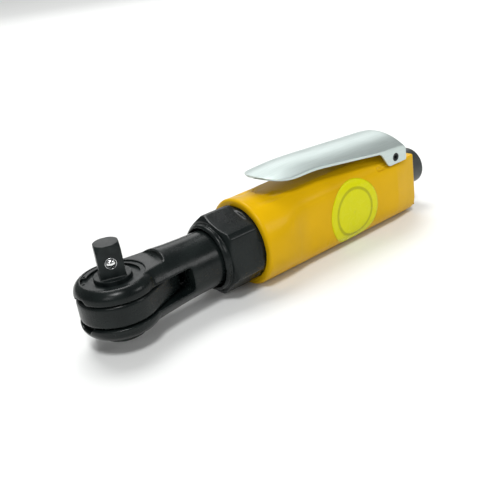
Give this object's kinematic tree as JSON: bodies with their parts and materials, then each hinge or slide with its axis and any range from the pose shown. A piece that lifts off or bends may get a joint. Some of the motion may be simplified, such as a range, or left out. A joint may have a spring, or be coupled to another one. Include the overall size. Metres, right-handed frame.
{
  "type": "air ratchet",
  "caption": "Compact air ratchet wrench: square drive in a slotted swinging-yoke head, hexagonal clamp nut, flat-sided grip with a throttle lever and a threaded air inlet at the tail.",
  "frame": {"origin": "on the axis of the square drive, at its shoulder, where a socket seats", "axes": "+Z is the way the square drive points, +X runs from the drive along the handle to the air inlet, +Y completes the right-handed frame"},
  "size_m": [0.1868, 0.0388, 0.0477],
  "materials": {
    "black_head": "satin black coating on forged steel",
    "black_oxide": "black oxide, low sheen",
    "bright_steel": "machined",
    "bronze": "sintered bronze and brass",
    "vane_fibre": "resin-bonded fibre",
    "yellow_paint": "gloss yellow paint on cast aluminium",
    "label": "glossy round sticker",
    "lever_silver": "satin plated sheet",
    "inlet_grey": "dark grey satin",
    "ball_chrome": "polished",
    "black_rubber": "matt"
  },
  "bodies": {
    "tool_body": {"ratchet_housing": "black_head", "crank_bush": "bronze", "needle_shell": "bright_steel", "retaining_ring": "black_oxide", "thrust_washer": "black_oxide", "ring_gear": "bright_steel", "lock_nut": "black_head", "front_end_plate": "bright_steel", "front_outer_race": "bright_steel", "motor_cylinder": "bright_steel", "cylinder_dowel": "bright_steel", "rear_end_plate": "bright_steel", "rear_outer_race": "bright_steel", "motor_gasket": "black_rubber", "motor_housing": "yellow_paint", "label_disc": "label", "lever_pin": "black_oxide", "plunger_bushing": "bronze", "plunger_o_ring": "black_rubber", "valve_seat": "bronze", "valve_spring": "bright_steel", "inlet_bushing": "inlet_grey", "inlet_screen": "bright_steel", "inlet_o_ring": "black_rubber"},
    "yoke": {"yoke": "black_head"},
    "anvil": {"anvil": "black_oxide", "pawl_pin": "bright_steel", "detent_spring": "bright_steel"},
    "pawl": {"pawl": "bright_steel"},
    "reverse_lever": {"reverse_lever": "black_oxide", "pawl_spring": "bright_steel"},
    "pawl_plunger": {"pawl_plunger": "bright_steel"},
    "detent_ball": {"detent_ball": "ball_chrome"},
    "crank": {"crankshaft": "bright_steel", "planet_pins": "bright_steel"},
    "needle_set": {"needle_rollers": "bright_steel"},
    "drive_bushing": {"drive_bushing": "bronze"},
    "planet_1": {"planet_1": "bright_steel"},
    "planet_2": {"planet_2": "bright_steel"},
    "planet_3": {"planet_3": "bright_steel"},
    "rotor": {"rotor": "bright_steel", "front_inner_race": "bright_steel", "rear_inner_race": "bright_steel"},
    "front_ball_set": {"front_balls": "bright_steel"},
    "rear_ball_set": {"rear_balls": "bright_steel"},
    "throttle_lever": {"throttle_lever": "lever_silver"},
    "throttle_plunger": {"throttle_plunger": "bright_steel"},
    "throttle_valve": {"throttle_valve": "black_rubber"},
    "vane_1": {"vane_1": "vane_fibre"},
    "vane_2": {"vane_2": "vane_fibre"},
    "vane_3": {"vane_3": "vane_fibre"},
    "vane_4": {"vane_4": "vane_fibre"},
    "vane_5": {"vane_5": "vane_fibre"}
  },
  "joints": [
    {"name": "crank_spin", "type": "hinge", "parent": "tool_body", "child": "crank", "pos_m": [0.06, 0, -0.011], "axis": [1, 0, 0], "continuous": true},
    {"name": "yoke_swing", "type": "hinge", "parent": "tool_body", "child": "yoke", "pos_m": [0, 0, -0.011], "axis": [0, 0, 1], "range_deg": [-4.07, 4.07]},
    {"name": "anvil_turn", "type": "hinge", "parent": "yoke", "child": "anvil", "pos_m": [0, 0, -0.011], "axis": [0, 0, 1], "continuous": true},
    {"name": "reverse_lever_turn", "type": "hinge", "parent": "anvil", "child": "reverse_lever", "pos_m": [0, 0, -0.011], "axis": [0, 0, 1], "range_deg": [0, 48]},
    {"name": "pawl_tilt", "type": "hinge", "parent": "anvil", "child": "pawl", "pos_m": [0.0072, 0, -0.011], "axis": [0, 0, 1], "range_deg": [-20, 0]},
    {"name": "pawl_plunger_slide", "type": "slide", "parent": "reverse_lever", "child": "pawl_plunger", "axis": [0.9135, -0.4067, 0], "range_m": [-0.0004, 0], "stiffness_N_per_m": 900, "deforming": ["pawl_spring"]},
    {"name": "detent_ball_slide", "type": "slide", "parent": "anvil", "child": "detent_ball", "axis": [0.3746, 0.9272, 0], "range_m": [0, 0.0009], "stiffness_N_per_m": 900, "deforming": ["detent_spring"]},
    {"name": "needle_orbit", "type": "hinge", "parent": "tool_body", "child": "needle_set", "pos_m": [0.06, 0, -0.011], "axis": [1, 0, 0], "continuous": true},
    {"name": "drive_bushing_spin", "type": "hinge", "parent": "crank", "child": "drive_bushing", "pos_m": [0.0225, 0, -0.0094], "axis": [1, 0, 0], "continuous": true},
    {"name": "planet_1_spin", "type": "hinge", "parent": "crank", "child": "planet_1", "pos_m": [0.081, 0.0078, -0.011], "axis": [1, 0, 0], "continuous": true},
    {"name": "planet_2_spin", "type": "hinge", "parent": "crank", "child": "planet_2", "pos_m": [0.081, -0.0039, -0.00424], "axis": [1, 0, 0], "continuous": true},
    {"name": "planet_3_spin", "type": "hinge", "parent": "crank", "child": "planet_3", "pos_m": [0.081, -0.0039, -0.01775], "axis": [1, 0, 0], "continuous": true},
    {"name": "rotor_spin", "type": "hinge", "parent": "tool_body", "child": "rotor", "pos_m": [0.06, 0, -0.011], "axis": [1, 0, 0], "continuous": true},
    {"name": "front_balls_orbit", "type": "hinge", "parent": "tool_body", "child": "front_ball_set", "pos_m": [0.06, 0, -0.011], "axis": [1, 0, 0], "continuous": true},
    {"name": "rear_balls_orbit", "type": "hinge", "parent": "tool_body", "child": "rear_ball_set", "pos_m": [0.06, 0, -0.011], "axis": [1, 0, 0], "continuous": true},
    {"name": "vane_1_slide", "type": "slide", "parent": "rotor", "child": "vane_1", "axis": [0, 1, 0], "range_m": [0, 0.00135]},
    {"name": "vane_2_slide", "type": "slide", "parent": "rotor", "child": "vane_2", "axis": [0, 0.309, 0.9511], "range_m": [0, 0.00019]},
    {"name": "vane_3_slide", "type": "slide", "parent": "rotor", "child": "vane_3", "axis": [0, -0.809, 0.5878], "range_m": [0, 0.00062]},
    {"name": "vane_4_slide", "type": "slide", "parent": "rotor", "child": "vane_4", "axis": [0, -0.809, -0.5878], "range_m": [0, 0.00215]},
    {"name": "vane_5_slide", "type": "slide", "parent": "rotor", "child": "vane_5", "axis": [0, 0.309, -0.9511], "range_m": [0, 0.00266]},
    {"name": "throttle_lever_press", "type": "hinge", "parent": "tool_body", "child": "throttle_lever", "pos_m": [0.1431, 0, 0.0039], "axis": [0, -1, 0], "range_deg": [0, 5.5], "stiffness_Nm_per_rad": 0.9, "springref_deg": -6.88},
    {"name": "throttle_plunger_slide", "type": "slide", "parent": "tool_body", "child": "throttle_plunger", "axis": [0, 0, -1], "range_m": [0, 0.001]},
    {"name": "throttle_valve_tilt", "type": "hinge", "parent": "tool_body", "child": "throttle_valve", "pos_m": [0.14405, 0, -0.0058], "axis": [0, -1, 0], "range_deg": [0, 5.2], "deforming": ["valve_spring"]}
  ],
  "couplings": [
    {"joint": "pawl_tilt", "follows": "reverse_lever_turn", "ratio": -0.41667},
    {"joint": "needle_orbit", "follows": "crank_spin", "ratio": 0.4082},
    {"joint": "drive_bushing_spin", "follows": "crank_spin", "ratio": -1},
    {"joint": "planet_1_spin", "follows": "crank_spin", "ratio": -3},
    {"joint": "planet_2_spin", "follows": "crank_spin", "ratio": -3},
    {"joint": "planet_3_spin", "follows": "crank_spin", "ratio": -3},
    {"joint": "rotor_spin", "follows": "crank_spin", "ratio": 4},
    {"joint": "front_balls_orbit", "follows": "crank_spin", "ratio": 1.5588},
    {"joint": "rear_balls_orbit", "follows": "crank_spin", "ratio": 1.5588},
    {"joint": "throttle_plunger_slide", "follows": "throttle_lever_press", "m_per_rad": 0.0101},
    {"joint": "throttle_valve_tilt", "follows": "throttle_lever_press", "ratio": 0.914}
  ]
}
